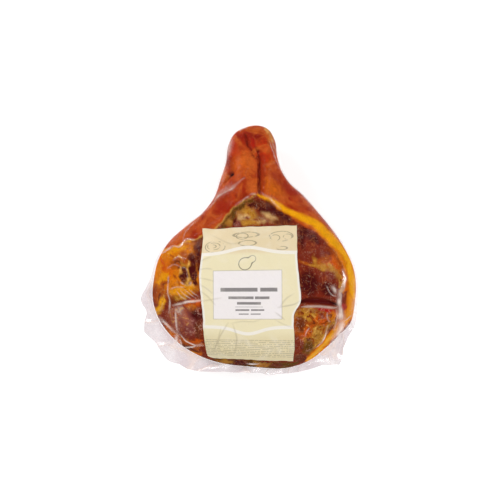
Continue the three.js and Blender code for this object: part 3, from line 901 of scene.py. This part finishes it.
# Broad soft painted sheens, reflections painted into the film's milk where it stands a little off the rind.
SHEENS = [
    (9, 0.2, [(34, 166), (40, 148), (46, 130), (57, 112), (76, 92), (100, 66), (122, 40)]),
    (8, 0.17, [(-29, 168), (-34, 146), (-38, 124), (-44, 104), (-52, 84)]),
    (9, 0.3, [(-56, 76), (-40, 88), (-24, 97)]),
    (9, 0.17, [(-134, 0), (-112, 24), (-88, 45), (-70, 58)]),
    (7, 0.35, [(92, 69), (110, 50), (125, 33), (138, 14)]),
    (9, 0.5, [(-26, 176), (-31, 162), (-34, 146), (-38, 132)]),
    (7, 0.3, [(38, 160), (41, 146), (46, 130), (56, 112)]),
    (10, 0.22, [(161, -40), (163, -60), (161, -84), (155, -108)]),
]


def crease_field(x, y):
    """Ridge height and milkiness of the film over the face; the milk is partly the film's whitening at its
    creases and partly painted highlights on the creases and painted sheens.
    """
    ridge, milk_and_highlight = np.zeros(x.shape), np.zeros(x.shape)
    wx, wy = x + 0.7 * noise(x, y, 8, 131), y + 0.7 * noise(x, y, 8, 133)
    for size, width, white, points in CREASES:
        gap, along = distance_to(wx, wy, points)
        body = np.exp(-(gap / (width * 0.42)) ** 2) * np.sin(np.pi * np.clip(along, 0.04, 0.96)) ** 0.4
        ridge = np.maximum(ridge, 0.5 * size * body)
        patchy = 0.72 + 0.4 * noise(x, y, 7, 137)
        milk_and_highlight = np.maximum(milk_and_highlight, min(1.0, 1.2 * white) * body * patchy)
    for width, white, points in SHEENS:
        gap, along = distance_to(wx, wy, points)
        body = np.exp(-(gap / (width * 0.5)) ** 2) * np.sin(np.pi * np.clip(along, 0.02, 0.98)) ** 0.5
        milk_and_highlight = np.maximum(milk_and_highlight, 0.7 * white * body * (0.8 + 0.5 * noise(x, y, 16, 139)))
    return ridge, milk_and_highlight


def crumple(x, y, size, seed, folds=7):
    """Flat facets that meet in sharp folds, as in crumpled film, from about -1 to 1."""
    rng = np.random.default_rng(seed)
    x, y = x + 0.25 * size * noise(x, y, size, seed), y + 0.25 * size * noise(x, y, size, seed + 1)
    total = np.zeros(x.shape)
    for k in range(folds):
        angle, phase = rng.uniform(0, np.pi), rng.uniform(0, 1)
        wave = (x * math.cos(angle) + y * math.sin(angle)) / (size * rng.uniform(0.7, 1.8)) + phase
        total += (2 * np.abs(2 * (wave % 1.0) - 1) - 1) / folds
    return 2.0 * total


def film_grid():
    """On a square grid: the share of the way to the rim, the share across the surplus, and the turn."""
    ring, turn = square_rings(FILM_RINGS)
    inner = FILM_DOME_RINGS / FILM_RINGS
    share = np.sin(np.minimum(ring / inner, 1) * np.pi / 2)
    beyond = np.maximum(0, (ring - inner) / (1 - inner))
    return share, beyond, turn


# Where the surplus film reaches further out or less far: x, y on the rim, by how much, and over what length.
EARS = [(-151, -74, 4, 12), (-148, -92, -3, 10), (-138, -112, 9, 20), (116, -152, 12, 20),
        (146, -124, -1, 12), (-96, -154, -4, 12), (30, -183, 3, 14)]


def surplus(turn, beyond, lift):
    """The film beyond the ham's widest line: pleated outward, hanging a little, with an uneven edge.

    Gives x, y, z, how much of a surplus there is from none, 0, to plenty, 1, and how near a pleat's crest is.
    """
    rx, ry, width = rim_at(turn)
    ox, oy = rim_outward(turn)
    room = smooth(2, 12, width)
    for ear_x, ear_y, more, length in EARS:
        width = width + more * np.maximum(0, 1 - np.hypot(rx - ear_x, ry - ear_y) / length)
    width = width * (1 + 0.05 * noise(rx, ry, 13, 151) * room)
    x = rx + ox * (SEAM_OFF_RIM + width * beyond)
    y = ry + oy * (SEAM_OFF_RIM + width * beyond)
    pleat = noise(PERIMETER * turn + 0.5 * width * beyond, 0.4 * width * beyond, PLEAT_LENGTH, 157)
    folds = 8.0 * (0.5 - np.abs(pleat)) + 2.0 * noise(x, y, 30, 161)
    z = SEAM_HEIGHT + lift + room * beyond ** 0.8 * folds - 0.3 * width * beyond ** 2
    return x, y, z, room, np.exp(-(pleat / 0.09) ** 2)


def front_film_mesh():
    share, beyond, turn = film_grid()
    x, y = toward_rim(share, *rim_at(turn)[:2])
    base, outward = face_base(share, x, y)
    fade = 1 - smooth(RELIEF_FADE, 1.0, share)
    floor = relief(x, y) * fade + FILM_OFF_MEAT
    on_label = label_mask(x, y)
    over_label = label_height(x, y) + LABEL_PAPER + FILM_OFF_LABEL
    floor = np.maximum(floor, np.where(on_label > 0, over_label, -9))
    height = settle(floor, floor, 160, 0.004)
    sx, sy, sz, room, crest = surplus(turn, beyond, SHEET_LIFT)
    outside = beyond > 0
    ridge, milk_and_highlight = crease_field(np.where(outside, sx, x), np.where(outside, sy, y))
    wrinkle = 0.12 * crumple(x, y, 13, 171) * smooth(0.15, 0.5, share)
    height = height + ridge * (1 - 0.6 * on_label) * fade + np.abs(wrinkle) * fade
    points = np.where(outside[..., None], np.stack([sx, sy, sz], -1), base + outward * height[..., None])
    # Haze is how milky the film is, and white is the milk's colour, from lilac, 0, to white, 1. Both also
    # carry painted light: highlights on the creases and on the surplus's pleat crests, and shade along the
    # ham's rim.
    # Painted highlights: the surplus is milkier and whiter on its pleats' crests.
    seam_haze = 0.36 + 0.2 * noise(sx, sy, 22, 191) + 0.26 * crest + 0.1 * smooth(0.93, 1.0, beyond)
    # Painted shade: a lilac line in the surplus where it leaves the ham's rim.
    seam_haze = seam_haze + 0.2 * np.exp(-beyond / 0.08)
    # Painted shade, with some of the film's real haze: over the ham's rim the film turns hazy and lilac.
    rim_blend = smooth(0.99, 1.0, share) * room
    haze = CLEAR_HAZE + milk_and_highlight
    haze = haze * (1 - rim_blend) + np.maximum(haze, RIM_HAZE) * rim_blend
    haze = np.where(outside, np.maximum(seam_haze, milk_and_highlight) * (0.25 + 0.75 * room), haze) * (1 - 0.75 * on_label)
    white = np.where(outside, np.clip(0.7 * crest + 1.3 * milk_and_highlight, 0, 0.95), 1 - 0.8 * rim_blend)
    size = 2 * FILM_RINGS + 1
    return make_mesh("film_front", points.reshape(-1, 3), grid_faces(size, size).tolist(),
                     [("haze", np.clip(haze, 0.0, MOST_HAZE)), ("white", white)])


def label_mask(x, y):
    """1 on the label's plan and 0 off it."""
    left, right = np.array(LABEL_LEFT), np.array(LABEL_RIGHT)
    lx = np.interp(-y, -left[:, 1], left[:, 0])
    rx = np.interp(-y, -right[:, 1], right[:, 0])
    inside = np.minimum(smooth(0, 1.5, x - lx), smooth(0, 1.5, rx - x))
    top = np.interp(x, [-71, 71], [31.8, 38])
    foot = np.interp(x, [-65, 66], [-167, -171])
    return inside * smooth(0, 1.5, top - y) * smooth(0, 1.5, y - foot)


def back_film_mesh():
    """The film round the skin side, from the edge of the surplus in to the flat patch it rests on."""
    turn = np.arange(BACK_COLUMNS) / BACK_COLUMNS
    rings, hazes, whites = [], [], []
    for k in range(FILM_SEAM_RINGS, 0, -1):
        beyond = np.full(turn.shape, k / FILM_SEAM_RINGS)
        x, y, z, room, crest = surplus(turn, beyond, -SHEET_LIFT)
        rings.append(np.stack([x, y, z - 1.2 * room * np.sin(np.pi * beyond)], -1))
        # Painted highlights: the surplus is milkier and whiter on its pleats' crests.
        hazes.append((0.26 + 0.1 * noise(x, y, 24, 197) + 0.1 * crest) * (0.25 + 0.75 * room))
        whites.append(0.5 * crest)
    rx, ry, _ = rim_at(turn)
    ox, oy = rim_outward(turn)
    for ring in np.linspace(0, 1, BACK_RINGS, endpoint=False):
        share = math.cos(ring * np.pi / 2)
        x, y = toward_rim(share, rx, ry)
        off = 0.4 + 0.5 * np.abs(crumple(x, y, 15, 201)) * smooth(0.6, 0.75, share)
        sideways = smooth(0.0, 0.4, 1 - math.sqrt(max(0.0, 1 - share ** 2)))
        low = skin_height(np.full(x.shape, share))
        z = np.maximum(FILM_FLOOR, low - off * (1 - sideways) - 0.3)
        rings.append(np.stack([x + ox * off * sideways, y + oy * off * sideways, z], -1))
        hazes.append(0.03 + 0.25 * np.clip(crumple(x, y, 13, 211) - 0.4, 0, 1))
        whites.append(np.ones(x.shape))
    points = np.vstack([*rings, [[MIDDLE[0], MIDDLE[1], FILM_FLOOR]]])
    haze = np.concatenate([*hazes, [0.05]])
    white = np.concatenate([*whites, [1.0]])
    index = np.arange(len(rings) * BACK_COLUMNS).reshape(len(rings), BACK_COLUMNS)
    after = np.roll(index, -1, axis=1)
    quads = np.stack([index[:-1], index[1:], after[1:], after[:-1]], -1).reshape(-1, 4).tolist()
    last = index[-1].tolist()
    fan = [[last[k], len(points) - 1, last[(k + 1) % BACK_COLUMNS]] for k in range(BACK_COLUMNS)]
    return make_mesh("film_back", points, quads + fan,
                     [("haze", np.clip(haze, 0, MOST_HAZE)), ("white", white)])


# ---------------------------------------------------------------- materials

class Graph:
    """The nodes of one material. Values are numbers or node outputs."""

    def __init__(self, name):
        self.material = bpy.data.materials.new(name)
        self.material.use_nodes = True
        self.nodes = self.material.node_tree.nodes
        self.links = self.material.node_tree.links
        self.nodes.clear()

    def node(self, kind, settings=(), inputs=()):
        made = self.nodes.new(kind)
        for key, value in dict(settings).items():
            setattr(made, key, value)
        for key, value in dict(inputs).items():
            self.put(made.inputs[key], value)
        return made

    def put(self, socket, value):
        if isinstance(value, bpy.types.NodeSocket):
            self.links.new(value, socket)
        else:
            socket.default_value = value

    def math(self, operation, a, b=0.0, clamp=False):
        settings = {"operation": operation, "use_clamp": clamp}
        return self.node("ShaderNodeMath", settings, {0: a, 1: b}).outputs[0]

    def times(self, first, *others):
        for other in others:
            first = self.math("MULTIPLY", first, other)
        return first

    def minus(self, a, b):
        return self.math("SUBTRACT", a, b)

    def attribute(self, name, output="Fac"):
        return self.node("ShaderNodeAttribute", {"attribute_name": name}).outputs[output]

    def place(self):
        return self.node("ShaderNodeTexCoord").outputs["Object"]

    def noise(self, vector, size_mm, detail=3.0, roughness=0.55, distortion=0.0):
        inputs = {"Vector": vector, "Scale": 1 / (size_mm * MM), "Detail": detail,
                  "Roughness": roughness, "Distortion": distortion}
        return self.node("ShaderNodeTexNoise", {}, inputs).outputs[0]

    def cells(self, vector, size_mm):
        inputs = {"Vector": vector, "Scale": 1 / (size_mm * MM)}
        return self.node("ShaderNodeTexVoronoi", {}, inputs).outputs["Distance"]

    def step(self, value, low, high, out_low=0.0, out_high=1.0):
        inputs = {"Value": value, "From Min": low, "From Max": high, "To Min": out_low, "To Max": out_high}
        return self.node("ShaderNodeMapRange", {"interpolation_type": "SMOOTHSTEP"}, inputs).outputs[0]

    def fall(self, value, low, high):
        """1 up to low, falling to 0 at high."""
        return self.step(value, low, high, 1.0, 0.0)

    def crests(self, *settings):
        """0 along the lines where that noise crosses its middle, and more away from them."""
        return self.math("ABSOLUTE", self.minus(self.noise(*settings), 0.5))

    def mix(self, factor, a, b, blend_type="MIX"):
        made = self.node("ShaderNodeMix", {"data_type": "RGBA", "blend_type": blend_type})
        self.put(made.inputs[0], factor)
        self.put(made.inputs[6], a)
        self.put(made.inputs[7], b)
        return made.outputs[2]

    def bump(self, height, distance_mm, strength=1.0, normal=None):
        inputs = {"Height": height, "Distance": distance_mm * MM, "Strength": strength}
        if normal is not None:
            inputs["Normal"] = normal
        return self.node("ShaderNodeBump", {}, inputs).outputs[0]

    def finish(self, shader):
        self.node("ShaderNodeOutputMaterial", {}, {"Surface": shader})
        return self.material


BLOTCH_SHADE = (0.4, 0.3, 0.26, 1)


def meat_material():
    g = Graph("cured_meat")
    place = g.place()
    lean, rind, marbled = g.attribute("lean"), g.attribute("rind"), g.attribute("marbled")

    def paint(colour, layers):
        """The colour painted over by each layer in turn: pattern, where it shows, tone and strength."""
        for pattern, where, tone, amount in layers:
            colour = g.mix(g.times(pattern, where, amount), colour, (*meat(tone), 1.0))
        return colour

    patches = g.noise(place, 30, 4, 0.6, 0.8)
    streaks = g.noise(place, 8, 5, 0.65, 1.6)
    marbling = g.noise(place, 13, 4, 0.6, 2.0)
    cut_fat = g.times(marbled, g.math("SUBTRACT", g.minus(1.0, rind), lean, clamp=True))
    colour = paint(g.attribute("meat_colour", "Color"), [
        # The rind is mottled at three sizes: warm patches, dark red patches and fine brown streaks.
        (g.step(patches, 0.5, 0.66), rind, RIND_ORANGE, 0.7),
        (g.fall(patches, 0.34, 0.5), rind, RIND_RED, 0.6),
        (g.step(streaks, 0.54, 0.72), rind, RIND_BROWN, 0.65),
        (g.fall(streaks, 0.28, 0.42), rind, RIND_ORANGE, 0.6),
        (g.fall(g.cells(place, 2.2), 0.05, 0.3), rind, RIND_BROWN, 0.16),
        # The fat and the cut edges are streaked brown and pale.
        (g.step(marbling, 0.52, 0.6), cut_fat, BROWN_ORANGE, 0.9),
        (g.step(marbling, 0.58, 0.66), cut_fat, BROWN, 0.9),
        (g.fall(marbling, 0.36, 0.44), cut_fat, FAT_PALE, 0.6),
        (g.fall(g.crests(place, 15, 3, 0.6, 2.6), 0.0, 0.016), cut_fat, LEAN_BROWN, 0.8),
    ])
    # Soft blotches and grain, on everything.
    blotch = g.step(g.noise(place, 10, 4, 0.6, 0.6), 0.35, 0.7)
    colour = g.mix(g.times(blotch, 0.25), colour, BLOTCH_SHADE, "MULTIPLY")
    grain = g.step(g.noise(place, 2.4, 4, 0.6), 0.3, 0.72, 0.86, 1.14)
    shade = g.node("ShaderNodeCombineColor", {}, {0: grain, 1: grain, 2: grain}).outputs[0]
    colour = g.mix(0.7, colour, shade, "MULTIPLY")
    # Fat veins and fibres in the lean; crystals in the lean that also stand in for glints, as painted
    # highlights; and painted glints, pale flecks of highlight on the cut meat under the film.
    fibrous = g.times(g.step(marbled, 0.5, 0.9), lean, g.step(g.noise(place, 12, 2), 0.42, 0.6))
    crystals_and_glints = g.times(g.fall(g.cells(place, 2.4), 0.0, 0.34), g.step(g.noise(place, 15, 2), 0.46, 0.62))
    glint_lines = g.fall(g.crests(place, 5, 2, 0.5, 1.5), 0.0, 0.02)
    glints = g.times(glint_lines, g.step(g.noise(place, 11, 3), 0.52, 0.64))
    glint_area = g.times(g.step(marbled, 0.1, 0.6), g.minus(1.0, rind))
    colour = paint(colour, [
        (g.fall(g.crests(place, 16, 4, 0.55, 0.8), 0.0, 0.02), lean, VEIN, 0.3),
        (g.fall(g.crests(place, 15, 4, 0.65, 0.6), 0.0, 0.04), fibrous, FIBRE_PINK, 0.5),
        (crystals_and_glints, lean, CRYSTAL_AND_GLINT, 0.5),
        (glints, glint_area, PAINTED_GLINT, 0.6),
    ])
    # Relief too fine for the mesh.
    normal = g.bump(g.noise(place, 1.8, 4, 0.65, 0.5), 0.25, 0.3)
    normal = g.bump(streaks, 0.7, 0.45, normal)
    gloss = g.bump(g.crests(place, 12, 3, 0.5, 0.8), 3.0, 0.6)
    shader = g.node("ShaderNodeBsdfPrincipled", {}, {
        "Base Color": colour, "Roughness": 0.45, "Normal": normal, "IOR": 1.45,
        "Specular IOR Level": 0.0, "Coat Weight": 0.06, "Coat Roughness": 0.08, "Coat Normal": gloss,
    })
    return g.finish(shader.outputs[0])


MILK_GLOW = 0.1  # painted light: the milky film glows a little, standing in for light that passes through its folds from behind
MILK_LIGHT = (1.0, 0.93, 0.9, 1.0)


def film_material():
    g = Graph("clear_film")
    place = g.place()
    haze = g.attribute("haze")
    facing = g.node("ShaderNodeLayerWeight", {}, {"Blend": 0.25}).outputs["Facing"]
    grazing = g.times(g.math("POWER", facing, 5.0), 0.12)
    patchy = g.step(g.noise(place, 9, 3, 0.6), 0.25, 0.75, 0.88, 1.1)
    factor = g.math("ADD", g.times(haze, patchy), grazing, clamp=True)
    milk_and_highlight = g.mix(g.attribute("white"), rgba(FILM_LILAC), rgba(FILM_WHITE))
    normal = g.bump(g.noise(place, 18, 2, 0.5, 0.6), 0.5, 0.2)
    clear = g.node("ShaderNodeBsdfTransparent", {}, {"Color": (1, 1, 1, 1)}).outputs[0]
    body = g.node("ShaderNodeBsdfPrincipled", {}, {
        "Base Color": milk_and_highlight, "Roughness": 0.22, "IOR": 1.6, "Normal": normal,
        "Coat Weight": 0.7, "Coat Roughness": 0.07, "Coat IOR": 1.7,
        "Emission Color": MILK_LIGHT, "Emission Strength": MILK_GLOW,
    }).outputs[0]
    return g.finish(g.node("ShaderNodeMixShader", {}, {0: factor, 1: clear, 2: body}).outputs[0])


PAPER = (237, 225, 186)
PAPER_TOP = (230, 210, 170)
PAPER_FOOT = (226, 211, 168)
PAPER_WHITE = (243, 236, 224)
PAPER_CREASE_SHADE = (150, 136, 108)
PANEL_WHITE = (242, 235, 234)
PRINT_DARK = (52, 46, 44)
PRINT_GREY = (128, 116, 92)
PANEL_EDGE = (176, 168, 150)
PANEL = (18.5, 121.5, 67.5, 143.5)  # left, right, top, foot
# Plain bars in the panel: middle across, middle down, length, height.
BARS = [(57, 97, 56, 6.0), (102, 97, 26, 6.0), (60, 109.5, 38, 4.2), (92, 109.5, 22, 4.2),
        (72, 118.2, 36, 4.2), (62, 129.5, 21, 2.8), (85, 129.5, 20, 2.8), (64, 136, 15, 1.8),
        (82, 136, 15, 1.8)]
# A plain pear-shaped ring over the panel: two round ends, each middle across, middle down and radius.
PEAR = [(66, 57, 9.0), (78, 49, 4.0)]
RULE = (72, 124.2, 42, 0.7)
# The rows of dashes: from and to how far down, how far apart, and how wide.
PRINT_TOP, PRINT_FOOT, PRINT_PITCH, PRINT_WIDTH = 176.0, 204.0, 2.9, 138
# Faint plain loops at the top of the label: middle across, middle down, size across, size down.
LOOPS = [(21, 29, 30, 18), (19, 28, 19, 11), (18, 28, 9, 5), (68, 12, 38, 8), (62, 14, 18, 9),
         (70, 25, 26, 8), (121, 16, 36, 15), (112, 18, 14, 9), (131, 17, 13, 8), (122, 34, 16, 5)]


def label_material():
    g = Graph("label_paper")
    place = g.place()
    u, v = g.attribute("across"), g.attribute("down")

    def wave(level, rise, middle, spread):
        """Height down the sheet of a wavy line: level, with one smooth hump of that rise."""
        off = g.math("DIVIDE", g.minus(u, middle), spread)
        hump = g.math("POWER", math.e, g.times(off, off, -1.0))
        return g.math("ADD", g.times(hump, rise), level)

    def line(distance, half, soft=0.5):
        return g.fall(g.math("ABSOLUTE", distance), half - soft, half + soft)

    def box(middle_u, middle_v, length, height, soft=0.4):
        across = line(g.minus(u, middle_u), length / 2, soft)
        down = line(g.minus(v, middle_v), height / 2, soft)
        return g.times(across, down)

    colour = g.mix(g.step(v, 36, 44), rgba(PAPER_TOP), rgba(PAPER))
    colour = g.mix(g.step(v, 158, 180), colour, rgba(PAPER_FOOT))
    loops = 0.0
    for middle_u, middle_v, size_u, size_v in LOOPS:
        du = g.math("DIVIDE", g.minus(u, middle_u), size_u / 2)
        dv = g.math("DIVIDE", g.minus(v, middle_v), size_v / 2)
        radius = g.math("SQRT", g.math("ADD", g.times(du, du), g.times(dv, dv)))
        ringed = line(g.minus(radius, 1.0), 0.9 / size_v, 0.6 / size_v)
        loops = g.math("MAXIMUM", loops, ringed)
    broken = g.step(g.noise(place, 9, 2), 0.36, 0.5)
    colour = g.mix(g.times(loops, broken, 0.7), colour, rgba(PRINT_GREY))
    upper = line(g.minus(v, wave(41.0, -9.5, 70, 34)), 2.6)
    lower = line(g.minus(v, wave(156.5, 10.5, 70, 26)), 2.6)
    between = g.times(g.step(v, 39, 42), g.fall(v, 155, 158))
    margin = g.fall(g.attribute("edge"), 2.6, 3.8)
    white = g.math("MAXIMUM", g.math("MAXIMUM", upper, lower), g.times(margin, between))
    colour = g.mix(white, colour, rgba(PAPER_WHITE))
    left, right, top, foot = PANEL
    middle = ((left + right) / 2, (top + foot) / 2)
    size = (right - left, foot - top)
    colour = g.mix(box(*middle, size[0] + 1.4, size[1] + 1.4), colour, rgba(PANEL_EDGE))
    colour = g.mix(box(*middle, *size), colour, rgba(PANEL_WHITE))
    swell = 0.0
    for pear_u, pear_v, radius in PEAR:
        du, dv = g.minus(u, pear_u), g.minus(v, pear_v)
        away = g.math("ADD", g.times(du, du), g.times(dv, dv))
        swell = g.math("ADD", g.math("DIVIDE", radius ** 2, g.math("ADD", away, 0.01)), swell)
    ring = line(g.minus(g.math("SQRT", swell), 1.0), 0.07, 0.04)
    bars = g.math("MAXIMUM", box(*RULE, 0.3), ring)
    for bar in BARS:
        bars = g.math("MAXIMUM", bars, box(*bar))
    colour = g.mix(g.times(bars, 0.75), colour, rgba(PRINT_DARK))
    # Rows of broken grey dashes where small print would be.
    row = g.math("DIVIDE", g.minus(v, PRINT_TOP), PRINT_PITCH)
    in_row = line(g.minus(g.math("FRACT", row), 0.5), 0.2, 0.12)
    key = g.node("ShaderNodeCombineXYZ", {}, {
        0: g.times(u, 0.42), 1: g.times(g.math("FLOOR", row), 7.7), 2: 0.0,
    }).outputs[0]
    dash_noise = g.node("ShaderNodeTexNoise", {}, {"Vector": key, "Scale": 1.0, "Detail": 1.0}).outputs[0]
    dashes = g.times(in_row, g.step(dash_noise, 0.4, 0.46))
    inside = box(LABEL_SIZE[0] / 2, (PRINT_TOP + PRINT_FOOT) / 2, PRINT_WIDTH, PRINT_FOOT - PRINT_TOP, 0.5)
    colour = g.mix(g.times(dashes, inside, 0.55), colour, rgba(PRINT_GREY))
    # Lighter in soft patches.
    pale_patches = g.step(g.noise(place, 22, 4, 0.65, 0.8), 0.45, 0.7)
    colour = g.mix(g.times(pale_patches, 0.22), colour, rgba(PAPER_WHITE))
    # Painted shade along the paper's creases.
    colour = g.mix(g.times(g.attribute("crease_shade"), 0.5), colour, rgba(PAPER_CREASE_SHADE))
    normal = g.bump(g.noise(place, 1.2, 4, 0.6), 0.12, 0.5)
    normal = g.bump(g.noise(place, 16, 3, 0.6, 1.0), 1.2, 0.4, normal)
    roughness = g.step(g.noise(place, 12, 2), 0.3, 0.7, 0.5, 0.65)
    shader = g.node("ShaderNodeBsdfPrincipled", {}, {
        "Base Color": colour, "Roughness": roughness, "Normal": normal,
        "Coat Weight": 0.1, "Coat Roughness": 0.2,
    })
    return g.finish(shader.outputs[0])


FLOOR_GLOW = 0.77  # the floor is a pale light table


def floor_material():
    g = Graph("studio_floor")
    shader = g.node("ShaderNodeBsdfPrincipled", {}, {
        "Base Color": (0.4, 0.4, 0.4, 1), "Roughness": 0.9, "Specular IOR Level": 0.1,
        "Emission Color": (1, 1, 1, 1), "Emission Strength": FLOOR_GLOW,
    })
    return g.finish(shader.outputs[0])


# ---------------------------------------------------------------- pieces

def add_piece(obj, material, node):
    obj.data.materials.append(material)
    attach(obj, "root")
    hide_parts(node)
    return obj


film = film_material()
add_piece(ham_mesh(), meat_material(), "ham")
add_piece(label_mesh(), label_material(), "label")
add_piece(front_film_mesh(), film, "front_film")
add_piece(back_film_mesh(), film, "back_film")

# ---------------------------------------------------------------- floor, light and camera

FLOOR_SIZE = 6.0
CAMERA_HEIGHT = 2.2
CAMERA_LENS = 100.0


def studio_floor():
    mesh = bpy.data.meshes.new("studio_floor")
    half = FLOOR_SIZE / 2
    corners = [(-half, -half, 0), (half, -half, 0), (half, half, 0), (-half, half, 0)]
    mesh.from_pydata(corners, [], [(0, 1, 2, 3)])
    mesh.materials.append(floor_material())
    obj = bpy.data.objects.new("studio_floor", mesh)
    bpy.context.scene.collection.objects.link(obj)


def area_light(name, place, target, size, watts, colour=(1, 1, 1)):
    light = bpy.data.lights.new(name, "AREA")
    light.shape = "RECTANGLE"
    light.size, light.size_y = size
    light.energy = watts
    light.color = colour
    obj = bpy.data.objects.new(name, light)
    bpy.context.scene.collection.objects.link(obj)
    obj.location = place
    aim = np.array(target, float) - np.array(place, float)
    obj.rotation_euler = Vector(aim).to_track_quat("-Z", "Y").to_euler()
    return obj


def studio_world():
    """White at the horizon and dim overhead, so that the face stays deep in colour and the sides gleam."""
    world = bpy.data.worlds.new("studio_world")
    bpy.context.scene.world = world
    world.use_nodes = True
    nodes, links = world.node_tree.nodes, world.node_tree.links
    nodes.clear()
    place = nodes.new("ShaderNodeTexCoord")
    split = nodes.new("ShaderNodeSeparateXYZ")
    spread = nodes.new("ShaderNodeMapRange")
    spread.interpolation_type = "SMOOTHERSTEP"
    for key, value in {"From Min": 0.0, "From Max": 0.35, "To Min": 1.0, "To Max": 0.22}.items():
        spread.inputs[key].default_value = value
    background = nodes.new("ShaderNodeBackground")
    output = nodes.new("ShaderNodeOutputWorld")
    links.new(place.outputs["Generated"], split.inputs[0])
    links.new(split.outputs[2], spread.inputs["Value"])
    links.new(spread.outputs[0], background.inputs["Strength"])
    links.new(background.outputs[0], output.inputs[0])


studio_floor()
studio_world()
area_light("key_light", (-1.5, 1.2, 1.5), (0, 0, 0.05), (0.9, 0.9), 38)
area_light("fill_light", (1.6, 0.5, 1.6), (0, 0, 0.05), (0.8, 0.8), 24)
area_light("low_light", (0.1, -1.8, 1.5), (0, 0, 0.05), (1.2, 0.6), 20)

camera_data = bpy.data.cameras.new("camera")
camera_data.lens = CAMERA_LENS
camera = bpy.data.objects.new("camera", camera_data)
bpy.context.scene.collection.objects.link(camera)
camera.location = (TO_FRAME[0] * MM, TO_FRAME[1] * MM, CAMERA_HEIGHT)
camera.rotation_euler = (0, 0, 0)
bpy.context.scene.camera = camera
bpy.context.scene.view_settings.view_transform = "Standard"

bpy.context.view_layer.update()
